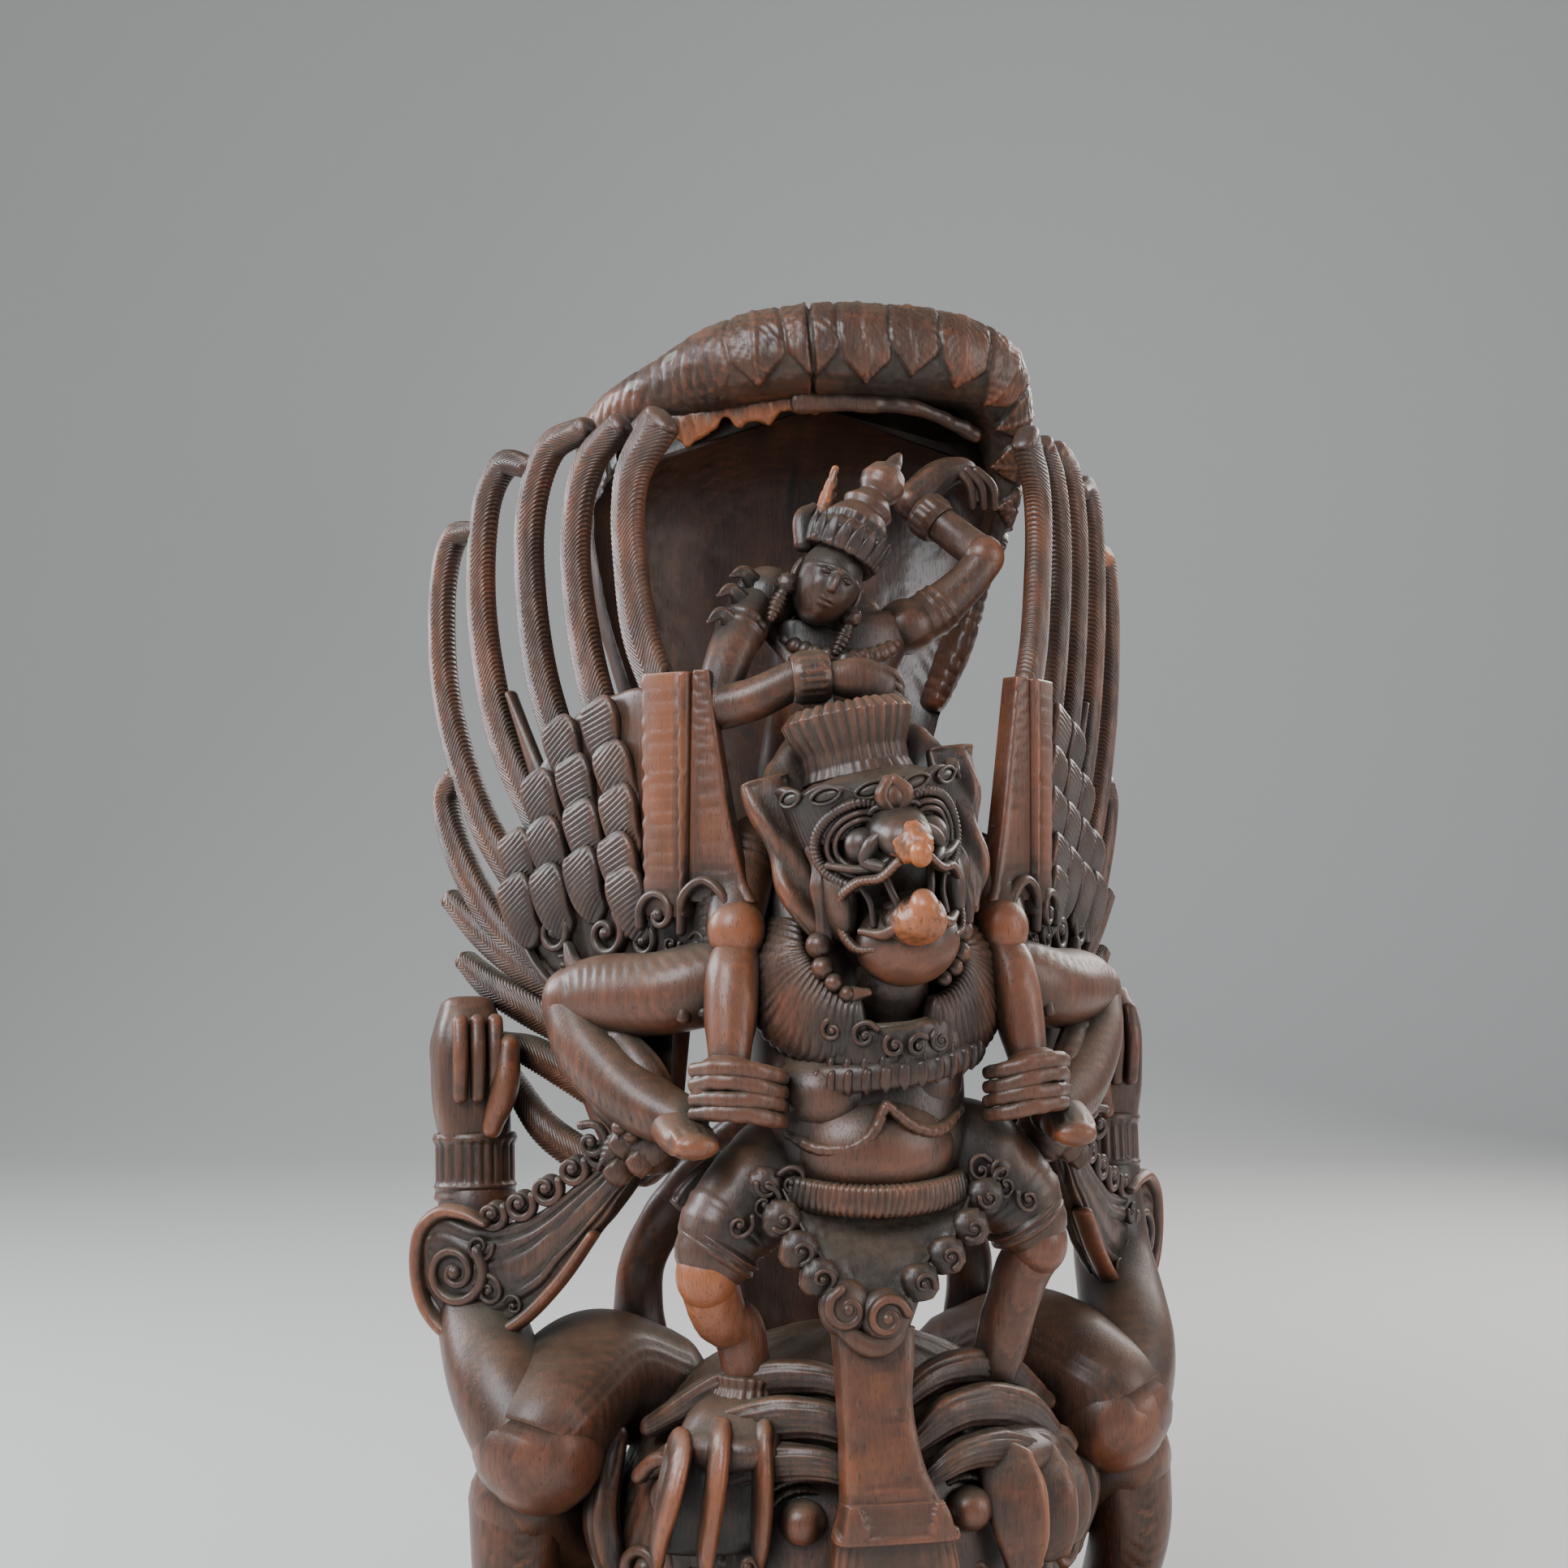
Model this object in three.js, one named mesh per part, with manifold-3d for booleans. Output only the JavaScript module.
// Wood carving of a four-part column of figures: a crouching demon on a low base carries the eagle
// Garuda, who carries the seated god Vishnu under a tall hood of tail feathers.
// Millimetres, +Z up, the front faces -Y, the origin is at the middle of the underside.
import * as THREE from 'three';
import { mergeVertices } from 'three/addons/utils/BufferGeometryUtils.js';
import Module from 'manifold-3d';

const wasm = await Module();
wasm.setup();

// Driving dimensions of the whole block
const BASE = { halfWidth: 182, halfDepth: 118, centreY: -4, height: 26, sides: 20 };
const DEMON_HEAD = { centre: [0, -5, 110], radii: [116, 98, 102] };
const WING = { rootX: 85, rootY: -30, sweep: 53, thick: 15 };
const SASH_THICK = 20;
const SASHES = [
  { mirrored: true, rootX: 107, rootY: -30, sweep: 36, stretch: 0.83 },
  { mirrored: false, rootX: 104, rootY: -30, sweep: 48, stretch: 0.95 },
];
const SIDE_SHIFT = -5;
const MERGE = 1e-3;
const APART = 0.02;
const MOST_FACES = 9800;
const LEAST_TURN = 0.3;
const LEAST_FACE = 0.02;
const SHORT_FIRST = 0.02;
const UP = [0, 0, 1];
const FRONT = [0, -1, 0];
const RIGHT = [1, 0, 0];

const forms = [];

const vec = (p) => new THREE.Vector3(p[0], p[1], p[2]);

// Closed mesh over rings of equal length, each ring a list of points, with a flat cap on both ends.
function loft(rings) {
  const count = rings[0].length;
  const points = rings.flat();
  const index = [];
  for (let r = 0; r + 1 < rings.length; r += 1) {
    for (let k = 0; k < count; k += 1) {
      const a = r * count + k;
      const b = r * count + ((k + 1) % count);
      index.push(a, b, b + count, a, b + count, a + count);
    }
  }
  [0, rings.length - 1].forEach((r) => {
    const middle = new THREE.Vector3();
    rings[r].forEach((p) => middle.addScaledVector(p, 1 / count));
    points.push(middle);
    for (let k = 0; k < count; k += 1) {
      const a = r * count + k;
      const b = r * count + ((k + 1) % count);
      index.push(...(r === 0 ? [b, a, points.length - 1] : [a, b, points.length - 1]));
    }
  });
  const geometry = new THREE.BufferGeometry().setFromPoints(points);
  geometry.setIndex(index);
  return geometry;
}

// Rounded bar along a smooth path of [x, y, z, half width, half thickness]. The half thickness
// lies near the up direction. A square bar has flat faces, and blunt ends have no rounding.
function bar(path, { up = FRONT, sides = 6, steps = path.length, square = false, blunt = false } = {}) {
  const centre = new THREE.CatmullRomCurve3(path.map(vec), false, 'centripetal');
  const girth = new THREE.CatmullRomCurve3(path.map((p) => new THREE.Vector3(p[3], p[4], 0)));
  const turn = square ? Math.PI / sides : 0;
  const grow = square ? 1 / Math.cos(turn) : 1;
  const ring = (t, shrink, push) => {
    const along = centre.getTangent(t);
    const side = new THREE.Vector3().crossVectors(along, vec(up)).normalize();
    const rise = new THREE.Vector3().crossVectors(side, along).normalize();
    const size = girth.getPoint(t);
    const middle = centre.getPoint(t).addScaledVector(along, push * Math.min(size.x, size.y));
    return Array.from({ length: sides }, (_, k) => {
      const angle = turn + (2 * Math.PI * k) / sides;
      return middle.clone()
        .addScaledVector(side, Math.cos(angle) * size.x * shrink * grow)
        .addScaledVector(rise, Math.sin(angle) * size.y * shrink * grow);
    });
  };
  const rings = [];
  for (let i = 0; i <= steps; i += 1) {
    rings.push(ring(i / steps, 1, 0));
  }
  if (!blunt) {
    rings.unshift(ring(0, 0.55, -0.75));
    rings.push(ring(1, 0.55, 0.75));
  }
  return loft(rings);
}

// Ellipsoid, leaned about Y by a number of degrees.
function ball(centre, radii, { lean = 0, sides = 8 } = {}) {
  const geometry = new THREE.SphereGeometry(1, sides, Math.round(sides * 0.6));
  geometry.rotateX(Math.PI / 2).scale(...radii).rotateY(THREE.MathUtils.degToRad(lean));
  return geometry.translate(...centre);
}

// Turned shape: a profile of [radius, height] that starts and ends on the axis.
function turned(profile, foot, axis, sides = 8) {
  const geometry = new THREE.LatheGeometry(profile.map((p) => new THREE.Vector2(p[0], p[1])), sides);
  const turn = new THREE.Quaternion().setFromUnitVectors(vec([0, 1, 0]), vec(axis).normalize());
  return geometry.applyQuaternion(turn).translate(...foot);
}

// Spiral ridge that winds in from its outer radius, in the plane of two directions.
function curl(centre, across, upward, { radius, turns = 1.25, girth, start = 0, steps = 8 }) {
  const normal = new THREE.Vector3().crossVectors(vec(across), vec(upward)).normalize();
  const path = Array.from({ length: steps }, (_, i) => {
    const t = i / (steps - 1);
    const angle = start + t * turns * 2 * Math.PI;
    const reach = radius * (1 - 0.85 * t);
    const p = vec(centre)
      .addScaledVector(vec(across), Math.cos(angle) * reach)
      .addScaledVector(vec(upward), Math.sin(angle) * reach);
    const thick = girth * (1 - 0.3 * t);
    return [p.x, p.y, p.z, thick, thick * 1.4];
  });
  return bar(path, { up: normal.toArray(), sides: 4, steps: steps - 1, square: true, blunt: true });
}

// Flat board with an outline of [s, z] in an upright plane, from one depth to another off it.
function board(outline, plane, low, high) {
  const shape = new THREE.Shape(outline.map((p) => new THREE.Vector2(p[0], p[1])));
  const geometry = new THREE.ExtrudeGeometry(shape, { depth: high - low, bevelEnabled: false });
  return geometry.translate(0, 0, low).applyMatrix4(plane);
}

// Upright plane that runs back from a root: local x runs along it, y up and z to its outer front.
function uprightPlane({ rootX, rootY, sweep }) {
  const angle = THREE.MathUtils.degToRad(sweep);
  const along = new THREE.Vector3(Math.cos(angle), Math.sin(angle), 0);
  const out = new THREE.Vector3(Math.sin(angle), -Math.cos(angle), 0);
  return new THREE.Matrix4().makeBasis(along, vec(UP), out).setPosition(rootX, rootY, 0);
}

const inPlane = (plane, s, z, n = 0) => new THREE.Vector3(s, z, n).applyMatrix4(plane).toArray();

const add = (...shapes) => forms.push(...shapes);

// Adds each shape and its mirror image on the other side.
function addPair(...shapes) {
  shapes.forEach((shape) => forms.push(shape, shape.clone().scale(-1, 1, 1)));
}

// The same, with both sides moved a little to the figures' right, as the carver left them.
function addShiftedPair(...shapes) {
  shapes.forEach((shape) => forms.push(
    shape.clone().translate(SIDE_SHIFT, 0, 0),
    shape.clone().scale(-1, 1, 1).translate(SIDE_SHIFT, 0, 0),
  ));
}

function base() {
  // Rounded oblong rings, drawn in a little towards the top
  add(loft([[1, 0], [1, 0.45], [0.96, 0.85], [0.9, 1]].map(([inset, level]) => (
    Array.from({ length: BASE.sides }, (_, k) => {
      const angle = (2 * Math.PI * k) / BASE.sides;
      const soft = (value) => Math.sign(value) * Math.abs(value) ** 0.6;
      return new THREE.Vector3(
        BASE.halfWidth * inset * soft(Math.cos(angle)),
        BASE.centreY + BASE.halfDepth * inset * soft(Math.sin(angle)),
        BASE.height * level,
      );
    })
  ))));
}

function demon() {
  const [rx, ry, rz] = DEMON_HEAD.radii;
  const skull = new THREE.SphereGeometry(1, 16, 10).rotateX(Math.PI / 2).scale(rx, ry, rz);
  add(skull.translate(...DEMON_HEAD.centre));
  // Face: bulging eyes under leafy brows, a broad nose, and a lip that turns up round the tusks
  addPair(
    ball([40, -88, 139], [17, 12, 16]),
    bar([[12, -100, 156, 5, 6], [38, -96, 167, 8, 8], [68, -78, 158, 8, 8], [88, -60, 138, 6, 6]]),
    curl([94, -52, 150], [0.8, 0.6, 0], UP, { radius: 18, girth: 5 }),
    curl([104, -42, 112], [0.7, 0.7, 0], UP, { radius: 17, girth: 5, start: 2 }),
    ball([15, -112, 104], [13, 14, 11]),
    bar([[4, -116, 84, 8, 9], [40, -104, 80, 8, 9], [70, -84, 92, 7, 7], [84, -66, 112, 5, 5]]),
    bar([[34, -106, 82, 7, 6], [40, -109, 66, 5, 5], [44, -105, 52, 3, 3]], { up: RIGHT, sides: 6 }),
    bar([[4, -104, 44, 9, 10], [44, -92, 46, 9, 9], [74, -68, 62, 7, 7]]),
  );
  add(ball([0, -108, 112], [16, 20, 18]), ball([0, -92, 36], [34, 22, 16]));
  // Ears of side curls
  addPair(bar([[112, -20, 100, 14, 9], [120, -22, 130, 13, 9], [112, -14, 164, 8, 6]], { up: RIGHT }));
  // Arm: shoulder behind the head, low elbow in front, forearm up to a pleated cuff and a fist
  addShiftedPair(
    bar([[84, 34, 176, 34, 30], [112, 16, 190, 33, 30], [138, -12, 174, 32, 31], [148, -18, 162, 30, 30]],
      { sides: 8, up: UP }),
    bar([[142, -20, 158, 30, 31], [160, 4, 190, 24, 25], [168, 42, 232, 20, 21], [166, 52, 276, 18, 19]],
      { sides: 8, steps: 4 }),
    turned([[0, 0], [19, 0], [22, 6], [21, 28], [18, 34], [0, 34]], [166, 52, 268], [0, 0.1, 1]),
    bar([[166, 54, 298, 17, 19], [168, 58, 322, 19, 23], [169, 62, 348, 18, 26], [169, 66, 366, 13, 20]],
      { sides: 8, steps: 4, blunt: true }),
    bar([[154, 34, 340, 7, 8], [156, 32, 322, 7, 8], [160, 34, 306, 6, 7]], { sides: 5, steps: 3 }),
  );
  // Leg: folded thigh and shin at the lower side, foot on the base
  addPair(
    bar([[76, 52, 92, 36, 34], [128, 34, 116, 33, 33], [154, 6, 134, 25, 27]], { sides: 8, up: UP }),
    bar([[156, 8, 132, 24, 24], [158, 4, 96, 20, 22], [150, 14, 50, 18, 20], [146, 14, 20, 20, 22]],
      { sides: 6, steps: 4 }),
    bar([[142, 34, 34, 26, 16], [150, -20, 42, 28, 20], [150, -58, 38, 28, 12]], { sides: 8, up: UP }),
  );
  for (let toe = 0; toe < 3; toe += 1) {
    const x = 132 + toe * 18;
    addPair(bar([[x, -48, 46, 8, 9], [x, -74, 46, 9, 10], [x + 2, -96, 28, 6, 7]], { up: UP, sides: 5, steps: 3 }));
  }
}

// Trunk that stays behind the figures: the eagle's tail, which rises into the hood
function hood() {
  // Each section: spine y and z, half width, how far the edges reach forward, half thickness
  const sections = [
    [84, 14, 60, 2, 26], [90, 100, 50, 3, 24], [92, 170, 38, 4, 22], [92, 220, 34, 5, 17], [96, 280, 38, 8, 15], [104, 350, 46, 14, 12],
    [114, 420, 58, 22, 10], [126, 490, 77, 32, 9], [136, 550, 96, 42, 9],
    [140, 606, 110, 50, 9], [136, 650, 115, 56, 9], [116, 684, 115, 56, 10],
    [84, 702, 115, 52, 13], [58, 702, 113, 50, 19], [40, 697, 108, 46, 22], [31, 692, 96, 38, 15],
  ];
  const half = 7;
  const centre = new THREE.CatmullRomCurve3(sections.map(([y, z]) => new THREE.Vector3(0, y, z)));
  const rings = sections.map(([, , width, reach, thick], i) => {
    const t = i / (sections.length - 1);
    const middle = centre.getPoint(t);
    const along = centre.getTangent(t);
    const inward = new THREE.Vector3(0, -along.z, along.y);
    const top = THREE.MathUtils.smoothstep(i, 8, 12);
    const point = (k, side) => {
      const a = k / half;
      const sharp = THREE.MathUtils.lerp(2, a > 0 ? 4.5 : 1.7, top);
      const bend = reach * (a > 0 ? 1 : 1 + 0.2 * top) * Math.abs(a) ** sharp;
      const taper = Math.sqrt(1 - 0.75 * a ** 4);
      const shift = 7 * top;
      return middle.clone()
        .add(new THREE.Vector3(shift + width * Math.sin((a * Math.PI) / 2.3) / Math.sin(Math.PI / 2.3), 0, 0))
        .addScaledVector(inward, bend + side * thick * taper);
    };
    const inner = Array.from({ length: 2 * half + 1 }, (_, k) => point(k - half, 1));
    const outer = Array.from({ length: 2 * half + 1 }, (_, k) => point(half - k, -1));
    return [...inner, ...outer];
  });
  add(loft(rings));
  // Splintered lip under the left part of the rim
  add(bar([[-64, 60, 650, 10, 5], [-40, 48, 662, 13, 6], [-6, 39, 669, 9, 5]], { up: FRONT, sides: 5, steps: 4 }));
  // Blocks of wood between the figures' backs and the tail
  add(
    bar([[0, -30, 330, 44, 44], [0, 30, 345, 40, 46], [0, 100, 360, 36, 40]], { up: UP, sides: 5, steps: 4 }),
    board([[4, 430], [70, 430], [66, 496], [44, 500], [4, 484]], new THREE.Matrix4().makeRotationX(Math.PI / 2), -40, 4),
  );
}

function garuda() {
  // Body
  add(
    bar([[0, -44, 282, 46, 36], [-2, -56, 312, 50, 44], [-2, -52, 345, 50, 42], [0, -42, 385, 48, 38],
      [0, -34, 420, 48, 34]], { sides: 10, steps: 6 }),
    ball([-4, -70, 316], [40, 38, 34]),
    bar([[0, -62, 352, 27, 30], [3, -84, 374, 25, 26], [3, -92, 396, 27, 26]], { up: UP, sides: 5, steps: 4 }),
  );
  // Belt, and chest folds
  const belt = Array.from({ length: 13 }, (_, i) => {
    const angle = (i / 12) * Math.PI;
    return [-3 + 48 * Math.cos(angle), -58 - 45 * Math.sin(angle), 291 - 5 * Math.sin(angle), 5, 7];
  });
  add(bar(belt, { up: UP, sides: 6, steps: 12 }));
  addPair(bar([[4, -104, 334, 6, 6], [24, -98, 338, 8, 7], [42, -80, 346, 7, 6]], { sides: 5, steps: 4 }));
  // Collar: a ring of scrolls with a petal fringe
  for (let i = 0; i < 5; i += 1) {
    const angle = (-60 + 30 * i) * (Math.PI / 180);
    const side = [Math.cos(angle), Math.sin(angle), 0];
    add(curl([4 + 42 * Math.sin(angle), -72 - 30 * Math.cos(angle), 358 - 4 * Math.cos(angle)], side, UP,
      { radius: 9, girth: 3.4, turns: 1.1, steps: 8 }));
  }
  const collar = (radius, depth, z, girth) => Array.from({ length: 11 }, (_, i) => {
    const angle = (-75 + 15 * i) * (Math.PI / 180);
    return [4 + radius * Math.sin(angle), -70 - depth * Math.cos(angle), z - 6 * Math.cos(angle), girth, girth * 1.3];
  });
  add(
    bar(collar(44, 32, 352, 7), { up: FRONT, sides: 6, steps: 10 }),
    bar(collar(34, 28, 366, 4), { up: FRONT, sides: 6, steps: 10 }),
  );
  garudaHead();
  garudaArms();
  garudaLegs();
  garudaCloth();
}

function garudaHead() {
  add(
    ball([2, -84, 440], [35, 32, 34]),
    ball([2, -104, 399], [23, 22, 20]),
    // Upper beak with its broken tip, and lower beak
    bar([[2, -104, 452, 20, 15], [2, -124, 450, 15, 12], [2, -138, 445, 9, 10], [1, -146, 438, 5, 6]],
      { up: UP, sides: 5, steps: 4 }),
    bar([[1, -104, 412, 22, 10], [1, -124, 411, 16, 9], [0, -138, 416, 8, 8], [0, -142, 426, 4, 5]],
      { up: UP, sides: 5, steps: 4 }),
    bar([[2, -126, 458, 4, 5], [2, -118, 470, 6, 6], [2, -108, 474, 5, 5]], { up: RIGHT, sides: 5, steps: 4 }),
  );
  addPair(
    ball([17, -113, 447], [9, 9, 9]),
    // Brow that runs round the eye, and the edge of the mouth
    bar([[8, -118, 462, 3, 4], [20, -115, 465, 4, 5], [31, -104, 456, 4, 5], [34, -98, 436, 3, 4]],
      { sides: 5, steps: 4 }),
    bar([[14, -122, 437, 3, 4], [27, -110, 432, 4, 5], [32, -98, 416, 4, 6], [24, -104, 398, 4, 5]],
      { sides: 5, steps: 4 }),
    curl([12, -122, 455], [0.9, 0.4, 0], UP, { radius: 6, girth: 2.2, turns: 1, steps: 8 }),
    // Flame ornament that rises from the ear, and the mane below it
    bar([[33, -84, 398, 8, 7], [40, -86, 420, 11, 8], [46, -82, 446, 14, 8], [54, -76, 470, 11, 5]],
      { sides: 5, steps: 4 }),
    bar([[28, -84, 392, 8, 12], [38, -78, 376, 12, 20], [48, -66, 352, 10, 22]], { up: [0.6, -0.8, 0], sides: 5, steps: 4 }),
  );
  // Beads that hang from the ear
  for (let i = 0; i < 4; i += 1) {
    addPair(ball([30 - 3 * i, -95 - i, 398 - 7 * i], [5, 6, 5], { sides: 4 }));
  }
  // Crown: fluted band with leaf notches, then a tall fluted crest that leans back
  add(
    turned([[0, -14], [34, -14], [38, -8], [35, 2], [38, 18], [41, 26], [33, 31], [0, 33]], [0, -82, 452],
      [0, 0.2, 1], 16),
    turned([[0, 0], [24, 0], [22, 12], [27, 30], [24, 36], [0, 30]], [-1, -74, 473], [0, 0.28, 1], 12),
  );
}

function garudaArms() {
  addPair(
    bar([[50, -26, 440, 16, 15], [58, -42, 430, 17, 16], [64, -58, 412, 16, 16], [65, -62, 402, 16, 15]],
      { up: RIGHT, sides: 10, steps: 6 }),
    bar([[65, -62, 402, 14, 14], [68, -69, 380, 14, 13], [71, -78, 354, 11, 11], [72, -80, 344, 12, 11]],
      { up: RIGHT, sides: 10, steps: 6 }),
    turned([[0, -3], [18, -3], [19, 0], [18, 3], [0, 3]], [59, -46, 427], [0.2, -0.6, -0.6], 10),
    ball([75, -86, 338], [17, 15, 13]),
  );
  for (let finger = 0; finger < 4; finger += 1) {
    const z = 346 - 7.5 * finger;
    addPair(bar([[88, -84, z, 3.5, 4], [76, -100, z - 1, 4, 4.5], [60, -100, z - 4, 4, 4.5], [50, -92, z - 6, 3, 4]],
      { up: UP, sides: 4, steps: 3 }));
  }
}

function garudaLegs() {
  const thigh = [[34, -50, 296, 28, 24], [52, -66, 288, 27, 22], [70, -70, 270, 22, 20], [80, -71, 256, 18, 18]];
  addPair(
    bar(thigh, { sides: 10, steps: 6 }),
    turned([[0, -4], [22, -4], [24, 0], [21, 4], [0, 4]], [76, -71, 262], [0.55, 0, -0.8], 12),
    ball([81, -74, 250], [15, 16, 16]),
    bar([[80, -72, 246, 14, 14], [73, -66, 226, 14, 14], [63, -58, 206, 12, 12], [58, -54, 190, 12, 12]],
      { sides: 10, steps: 6 }),
    turned([[0, -9], [17, -9], [19, -4], [15, 5], [17, 9], [0, 9]], [58, -53, 186], [-0.1, 0.1, 1], 12),
    bar([[58, -46, 176, 22, 14], [64, -66, 168, 22, 14], [70, -86, 152, 20, 10]], { up: UP, sides: 5, steps: 4 }),
  );
  // Three long front claws on each foot
  [[52, 60], [68, 82], [84, 104]].forEach(([top, tip]) => {
    addPair(bar([[top, -76, 176, 6, 8], [top + 3, -92, 162, 6.5, 9], [(top + tip) / 2 + 2, -98, 140, 6, 9],
      [tip, -90, 112, 4, 6]], { up: RIGHT, sides: 5, steps: 4 }));
  });
}

function garudaCloth() {
  const front = new THREE.Matrix4().makeRotationX(Math.PI / 2);
  // Loincloth: a deep V whose borders end in a pair of scrolls, over a long flap
  add(
    board([[-48, 292], [-30, 256], [-12, 226], [0, 220], [10, 226], [26, 256], [46, 292]], front, 70, 108),
    board([[-16, 232], [14, 232], [17, 205], [22, 160], [28, 134], [-26, 134], [-20, 160], [-18, 205]], front, 60, 117),
  );
  addPair(
    bar([[46, -86, 290, 7, 8], [32, -104, 262, 8, 7], [16, -112, 238, 7, 7]], { sides: 5, steps: 4 }),
    curl([12, -114, 230], RIGHT, UP, { radius: 12, girth: 4, start: 1 }),
    // Tail feathers that fan out behind the hip
    bar([[40, -28, 306, 16, 9], [58, -26, 288, 20, 9], [72, -18, 270, 16, 7], [78, -10, 252, 8, 5]],
      { up: [0.4, -0.9, 0], sides: 5, steps: 4 }),
    bar([[24, 0, 312, 18, 12], [60, 36, 276, 14, 10], [86, 58, 236, 13, 9], [88, 54, 186, 16, 12]],
      { sides: 5, steps: 4 }),
  );
}

function vishnu() {
  add(
    // Body from the seat to the shoulders, and neck
    bar([[-4, -16, 400, 42, 32], [-10, -8, 440, 34, 28], [-18, -5, 484, 22, 18], [-6, -12, 520, 30, 20],
      [0, -10, 548, 34, 17]], { sides: 5, steps: 4 }),
    bar([[0, -10, 548, 14, 12], [-8, -22, 562, 11, 11]], { sides: 8, steps: 2 }),
    // Head leaned to its right, tall crown with a bulb, ear plugs and a broken spike
    ball([-14, -33, 571], [18, 20, 26], { lean: 24 }),
    turned([[0, -6], [20, -6], [21, 2], [18, 8], [19, 14], [13, 24], [10, 34], [11, 40], [8, 50], [0, 52]],
      [-5, -27, 588], [0.62, 0.32, 1], 12),
    bar([[-12, -16, 596, 8, 6], [-11, -12, 616, 6, 5], [-10, -10, 632, 2, 2]], { sides: 5, steps: 3 }),
    bar([[-20, -24, 588, 6, 6], [-27, -18, 604, 5, 5]], { sides: 6, steps: 2 }),
    ball([12, -28, 569], [7, 6, 7]),
    bar([[13, -30, 564, 4, 4], [13, -30, 550, 5, 4]], { sides: 6, steps: 2 }),
    // Right arm folds across to the chest, left arm is raised behind the head
    bar([[-34, -10, 566, 13, 13], [-46, -18, 566, 13, 12], [-60, -32, 538, 11, 11], [-70, -44, 508, 10, 10]],
      { sides: 5, steps: 4 }),
    bar([[-70, -44, 507, 11, 11], [-54, -54, 512, 10, 10], [-34, -60, 522, 8, 9]], { up: UP, sides: 5, steps: 4 }),
    turned([[0, -9], [11, -9], [12, 0], [11, 9], [0, 9]], [-31, -61, 524], [0.9, -0.25, 0.2], 8),
    bar([[-22, -62, 524, 8, 8], [-4, -65, 522, 12, 9], [10, -64, 512, 8, 7]], { up: FRONT, sides: 5, steps: 4 }),
    bar([[30, -8, 546, 12, 12], [48, -6, 560, 12, 12], [64, -8, 574, 10, 10], [74, -8, 588, 9, 9]],
      { sides: 5, steps: 4 }),
    bar([[74, -8, 588, 10, 10], [64, 6, 600, 9, 9], [50, 18, 612, 10, 9], [52, 24, 622, 12, 10]],
      { sides: 5, steps: 4 }),
    bar([[46, 22, 618, 12, 9], [60, 24, 634, 9, 9], [76, 30, 638, 7, 10], [84, 50, 626, 6, 12]],
      { sides: 5, steps: 4 }),
  );
  // Thighs out to both sides, shins folded back below them, feet held in the eagle's hands
  addPair(
    bar([[20, -30, 402, 26, 24], [60, -46, 386, 21, 20], [92, -42, 376, 20, 20], [122, -18, 374, 18, 19],
      [134, -8, 372, 14, 15]], { up: UP, sides: 5, steps: 4 }),
    bar([[132, -8, 370, 15, 15], [126, -22, 348, 17, 16], [108, -46, 328, 16, 16], [90, -66, 318, 13, 13]],
      { up: RIGHT, sides: 5, steps: 4 }),
    bar([[118, -26, 350, 18, 10], [108, -40, 330, 22, 10], [104, -36, 308, 16, 9], [107, -24, 294, 12, 9]],
      { up: [0.5, -0.85, 0], sides: 5, steps: 4 }),
    bar([[92, -64, 316, 12, 10], [92, -82, 312, 13, 9], [90, -96, 312, 11, 6]], { up: UP, sides: 5, steps: 4 }),
  );
}

// Feathers of one wing as [half width, points of [s, z] from the root to the hooked tip]
const FEATHERS = [
  [9, [18, 512], [28, 565], [31, 605], [24, 630], [12, 642]],
  [8, [52, 500], [66, 563], [65, 612], [54, 634], [41, 646]],
  [7.5, [74, 478], [97, 549], [97, 612], [84, 638], [63, 650]],
  [7, [92, 450], [127, 530], [133, 592], [121, 628], [99, 637]],
  [6.5, [95, 414], [148, 484], [162, 555], [158, 596], [137, 607]],
  [6.5, [92, 386], [138, 418], [158, 456], [160, 470], [151, 479]],
  [7, [70, 370], [106, 386], [130, 397], [153, 414]],
  [7, [66, 352], [101, 364], [124, 373], [142, 383]],
  [7, [44, 322], [78, 337], [114, 345]],
  [7, [46, 288], [75, 297], [95, 308], [107, 326]],
];

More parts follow.
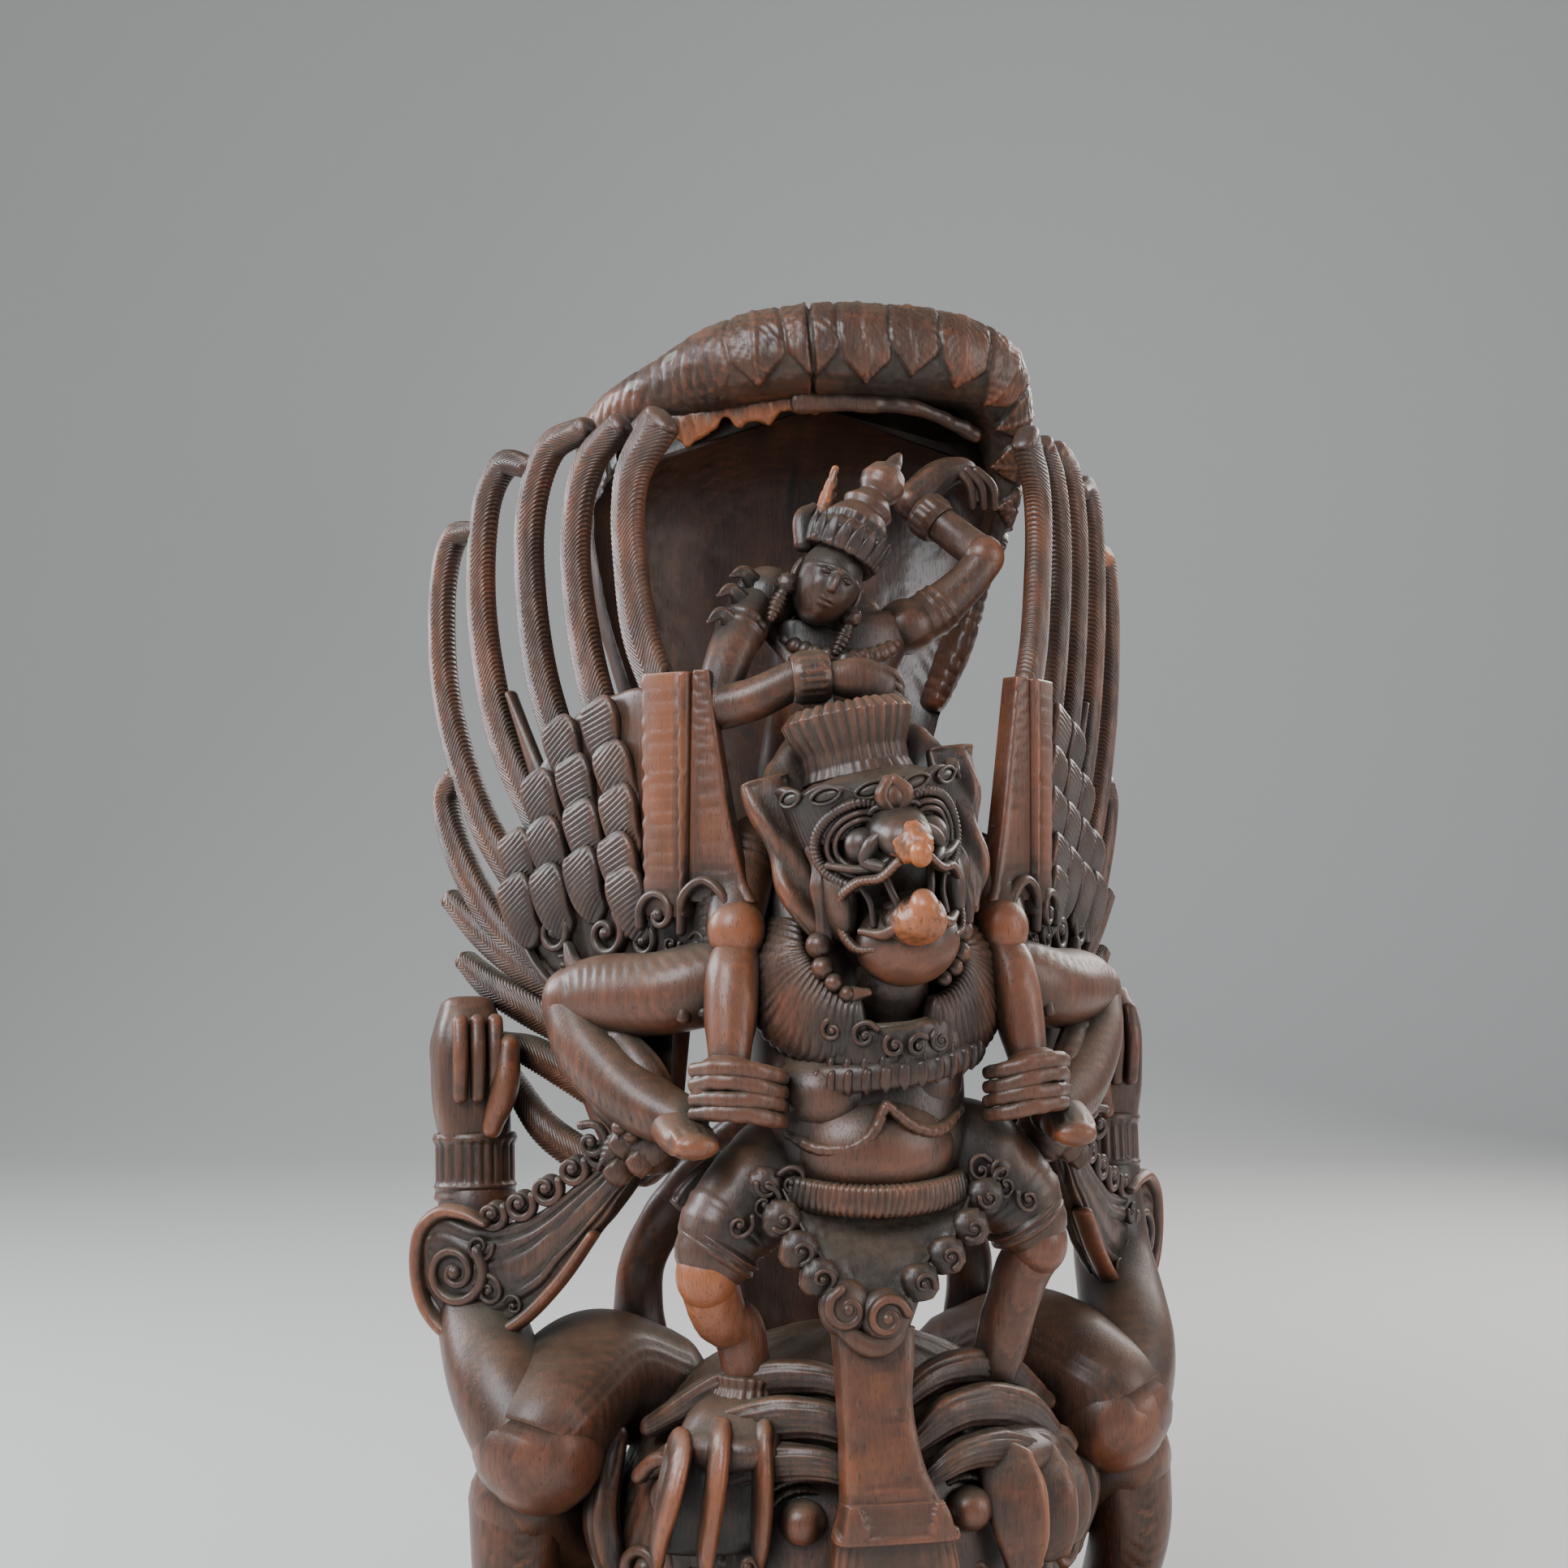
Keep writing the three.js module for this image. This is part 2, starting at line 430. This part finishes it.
function wing() {
  const plane = uprightPlane(WING);
  const out = inPlane(plane, 0, 0, 1).map((value, i) => value - inPlane(plane, 0, 0, 0)[i]);
  const along = inPlane(plane, 1, 0, 0).map((value, i) => value - inPlane(plane, 0, 0, 0)[i]);
  const thick = WING.thick / 2;
  FEATHERS.forEach(([half, ...points]) => {
    const path = points.map(([s, z], i) => {
      const end = i === points.length - 1 ? 0.7 : 1;
      return [...inPlane(plane, s, z, 0), half * end, thick * end];
    });
    addPair(bar(path, { up: out, sides: 4, steps: points.length + 1, blunt: true }));
  });
  addPair(
    board([[-20, 410], [98, 410], [102, 448], [92, 484], [74, 508], [46, 522], [0, 520], [-20, 440]], plane, -9, 4),
    board([[-34, 384], [-4, 378], [80, 378], [100, 424], [62, 424], [20, 414], [-30, 424]], plane, -9, 6),
    board([[-6, 340], [6, 286], [50, 280], [62, 318], [84, 350], [82, 384], [-6, 388]], plane, -9, 4),
    // Upright rib with a flat top, and the strip that flares out from it to the shoulder
    board([[-22, 412], [6, 412], [8, 526], [-19, 526]], plane, 0, 13),
    board([[-44, 426], [-16, 412], [-14, 524], [-22, 524]], plane, -8, 9),
  );
  // Coverts lie in rows like shingles and point up and out
  for (let row = 0; row < 4; row += 1) {
    for (let column = 0; column < 3; column += 1) {
      const s = 32 + 22 * column + 4 * (row % 2);
      const z = 428 + 21 * row - 3 * column;
      if (s + z < 552) {
        const place = (up, n) => inPlane(plane, s - 5 + 0.35 * up, z + up, n);
        addPair(bar([[...place(-4, 4), 8, 4], [...place(13, 7), 12, 5], [...place(26, 8), 6, 4]],
          { up: out, sides: 4, steps: 3, square: true, blunt: true }));
      }
    }
  }
  // Scrolls of the panel under the coverts, and its smooth lower edge
  [[68, 403, 15], [36, 402, 13], [10, 401, 10], [-18, 404, 11]].forEach(([s, z, radius]) => {
    addPair(curl(inPlane(plane, s, z, 8), along, UP, { radius, girth: radius * 0.27, start: 0.6 }));
  });
  addPair(bar([[...inPlane(plane, 88, 390, 6), 4, 5], [...inPlane(plane, 50, 380, 8), 5, 6],
    [...inPlane(plane, -24, 388, 8), 5, 6]], { up: out, sides: 5, steps: 4 }));
}

function sash({ mirrored, stretch, ...root }) {
  const plane = uprightPlane(root);
  const along = inPlane(plane, 1, 0, 0).map((value, i) => value - inPlane(plane, 0, 0, 0)[i]);
  const out = inPlane(plane, 0, 0, 1).map((value, i) => value - inPlane(plane, 0, 0, 0)[i]);
  const lift = SASH_THICK / 2;
  const at = (s, z, n) => inPlane(plane, s * stretch, z, n);
  const outline = [[-8, 300], [-3, 286], [17, 265], [41, 238], [67, 218], [92, 207], [116, 212], [130, 226],
    [136, 248], [130, 266], [114, 274], [98, 268], [67, 275], [46, 289], [26, 296], [6, 306]];
  const shapes = [
    board(outline.map(([s, z]) => [s * stretch, z]), plane, -lift, lift),
    bar([[...at(-14, 306, 0), 16, 16], [...at(2, 294, 4), 14, 15]], { sides: 8, steps: 2 }),
  ];
  [[100, 238, 17], [106, 260, 11], [80, 260, 9], [60, 266, 8]].forEach(([s, z, radius]) => {
    shapes.push(curl(at(s, z, lift), along, UP, { radius, girth: radius * 0.26, start: 3 }));
  });
  // Folds that sweep from the knot to the tip
  [0, 1, 2].forEach((fold) => {
    shapes.push(bar([[...at(0, 290 - 3 * fold, lift), 3, 5], [...at(38, 262 - 9 * fold, lift), 3, 5],
      [...at(84, 236 - 11 * fold, lift), 3, 5]], { up: out, sides: 4, steps: 5, blunt: true }));
  });
  add(...shapes.map((shape) => (mirrored ? shape.scale(-1, 1, 1) : shape)));
}

// One closed solid from a closed surface, its faces turned outwards.
function toSolid(geometry) {
  const bare = new THREE.BufferGeometry();
  bare.setAttribute('position', geometry.getAttribute('position').clone());
  bare.setIndex(geometry.getIndex() ?? Array.from({ length: geometry.getAttribute('position').count }, (_, i) => i));
  const merged = mergeVertices(bare, MERGE);
  const points = merged.getAttribute('position');
  const index = Array.from(merged.getIndex().array);
  const corner = (i) => new THREE.Vector3().fromBufferAttribute(points, index[i]);
  const faces = [];
  let volume = 0;
  for (let i = 0; i < index.length; i += 3) {
    if (index[i] !== index[i + 1] && index[i + 1] !== index[i + 2] && index[i + 2] !== index[i]) {
      faces.push([index[i], index[i + 1], index[i + 2]]);
      volume += corner(i).dot(corner(i + 1).cross(corner(i + 2)));
    }
  }
  const triVerts = new Uint32Array(faces.flatMap(([a, b, c]) => (volume > 0 ? [a, b, c] : [a, c, b])));
  return new wasm.Manifold(new wasm.Mesh({ numProp: 3, vertProperties: new Float32Array(points.array), triVerts }));
}

// Shared-vertex mesh as points and faces, with the faces that meet at each point.
function toNet(geometry) {
  const at = geometry.getAttribute('position');
  const points = Array.from({ length: at.count }, (_, i) => new THREE.Vector3().fromBufferAttribute(at, i));
  const index = geometry.getIndex().array;
  const faces = Array.from({ length: index.length / 3 }, (_, f) => [...index.slice(3 * f, 3 * f + 3)]);
  const around = points.map(() => new Set());
  faces.forEach((face, f) => face.forEach((v) => around[v].add(f)));
  return { points, faces, around };
}

const faceNormal = (a, b, c) => new THREE.Vector3().subVectors(b, a).cross(new THREE.Vector3().subVectors(c, a));

// Sum over the planes round a point of each plane's area-weighted squared distance, as a 4 x 4 form.
function planeForms({ points, faces }) {
  const sums = points.map(() => new Float64Array(10));
  faces.forEach((face) => {
    const normal = faceNormal(...face.map((v) => points[v]));
    const area = normal.length();
    normal.normalize();
    const plane = [...normal.toArray(), -normal.dot(points[face[0]])];
    face.forEach((v) => {
      let k = 0;
      for (let i = 0; i < 4; i += 1) {
        for (let j = i; j < 4; j += 1) {
          sums[v][k] += area * plane[i] * plane[j];
          k += 1;
        }
      }
    });
  });
  return sums;
}

function formValue(q, { x, y, z }) {
  return q[0] * x * x + 2 * q[1] * x * y + 2 * q[2] * x * z + 2 * q[3] * x + q[4] * y * y + 2 * q[5] * y * z
    + 2 * q[6] * y + q[7] * z * z + 2 * q[8] * z + q[9];
}

// Joins the ends of the edges that change the surface least, until few enough faces are left. An
// edge stays where joining its ends would pinch the surface or turn a face over.
function thinOut(geometry, mostFaces) {
  const net = toNet(geometry);
  const { points, faces, around } = net;
  const sums = planeForms(net);
  let left = faces.length;
  const neighbours = (v) => new Set([...around[v]].flatMap((f) => faces[f]).filter((w) => w !== v));
  const keepsFacing = (v, other, target) => [...around[v]].every((f) => {
    if (faces[f].includes(other)) {
      return true;
    }
    const before = faceNormal(...faces[f].map((w) => points[w]));
    const after = faceNormal(...faces[f].map((w) => (w === v ? target : points[w])));
    return before.dot(after) > LEAST_TURN * before.length() * after.length() && after.length() > LEAST_FACE;
  });
  const choice = (a, b) => {
    const sum = sums[a].map((value, k) => value + sums[b][k]);
    const spots = [points[a], points[b], new THREE.Vector3().lerpVectors(points[a], points[b], 0.5)];
    const costs = spots.map((spot) => formValue(sum, spot));
    const best = costs.indexOf(Math.min(...costs));
    return { a, b, spot: spots[best], sum, cost: costs[best] + SHORT_FIRST * points[a].distanceToSquared(points[b]) };
  };
  while (left > mostFaces) {
    const edges = [];
    faces.forEach((face) => face && face.forEach((v, i) => {
      const w = face[(i + 1) % 3];
      if (v < w) {
        edges.push(choice(v, w));
      }
    }));
    edges.sort((one, two) => one.cost - two.cost);
    const touched = new Set();
    const start = left;
    edges.slice(0, Math.ceil(edges.length / 4)).forEach(({ a, b, spot, sum }) => {
      const near = neighbours(a);
      const shared = [...neighbours(b)].filter((v) => near.has(v));
      if (left <= mostFaces || touched.has(a) || touched.has(b) || shared.length !== 2) {
        return;
      }
      if (!keepsFacing(a, b, spot) || !keepsFacing(b, a, spot)) {
        return;
      }
      [...near, ...neighbours(b)].forEach((v) => touched.add(v));
      points[a] = spot.clone();
      sums[a] = sum;
      [...around[b]].forEach((f) => {
        if (faces[f].includes(a)) {
          faces[f].forEach((v) => around[v].delete(f));
          faces[f] = null;
          left -= 1;
        } else {
          faces[f] = faces[f].map((v) => (v === b ? a : v));
          around[a].add(f);
        }
      });
      around[b].clear();
    });
    if (left === start) {
      break;
    }
  }
  partPoints(net);
  const thinned = new THREE.BufferGeometry().setFromPoints(points);
  thinned.setIndex(faces.filter(Boolean).flat());
  const compact = mergeVertices(thinned, MERGE);
  compact.computeVertexNormals();
  return compact;
}

// Where two points all but touch, draws one of them a little into the wood, against its normal.
function partPoints({ points, faces, around }) {
  const used = points.map((_, v) => v).filter((v) => around[v].size > 0);
  used.forEach((v, i) => used.slice(i + 1).forEach((w) => {
    if (Math.abs(points[v].x - points[w].x) < APART && points[v].distanceTo(points[w]) < APART) {
      const normal = new THREE.Vector3();
      around[w].forEach((f) => normal.add(faceNormal(...faces[f].map((u) => points[u]))));
      points[w] = points[w].clone().addScaledVector(normal.normalize(), -2 * APART);
    }
  }));
}

function toGeometry(solid) {
  const mesh = solid.getMesh();
  const geometry = new THREE.BufferGeometry();
  geometry.setAttribute('position', new THREE.BufferAttribute(new Float32Array(mesh.vertProperties), 3));
  geometry.setIndex(new THREE.BufferAttribute(new Uint32Array(mesh.triVerts), 1));
  return geometry;
}

base();
demon();
hood();
garuda();
vishnu();
wing();
SASHES.forEach(sash);

const whole = forms.map(toSolid).reduce((sum, solid) => sum.add(solid));
const [carved] = whole.decompose().sort((one, two) => two.volume() - one.volume());
const wood = new THREE.MeshStandardMaterial({ color: 0x3b2a20, roughness: 0.45, metalness: 0 });
const carving = new THREE.Mesh(thinOut(toGeometry(carved), MOST_FACES), wood);
carving.name = 'vishnu_on_garuda_carving';

const group = new THREE.Group();
group.add(carving);

export default group;
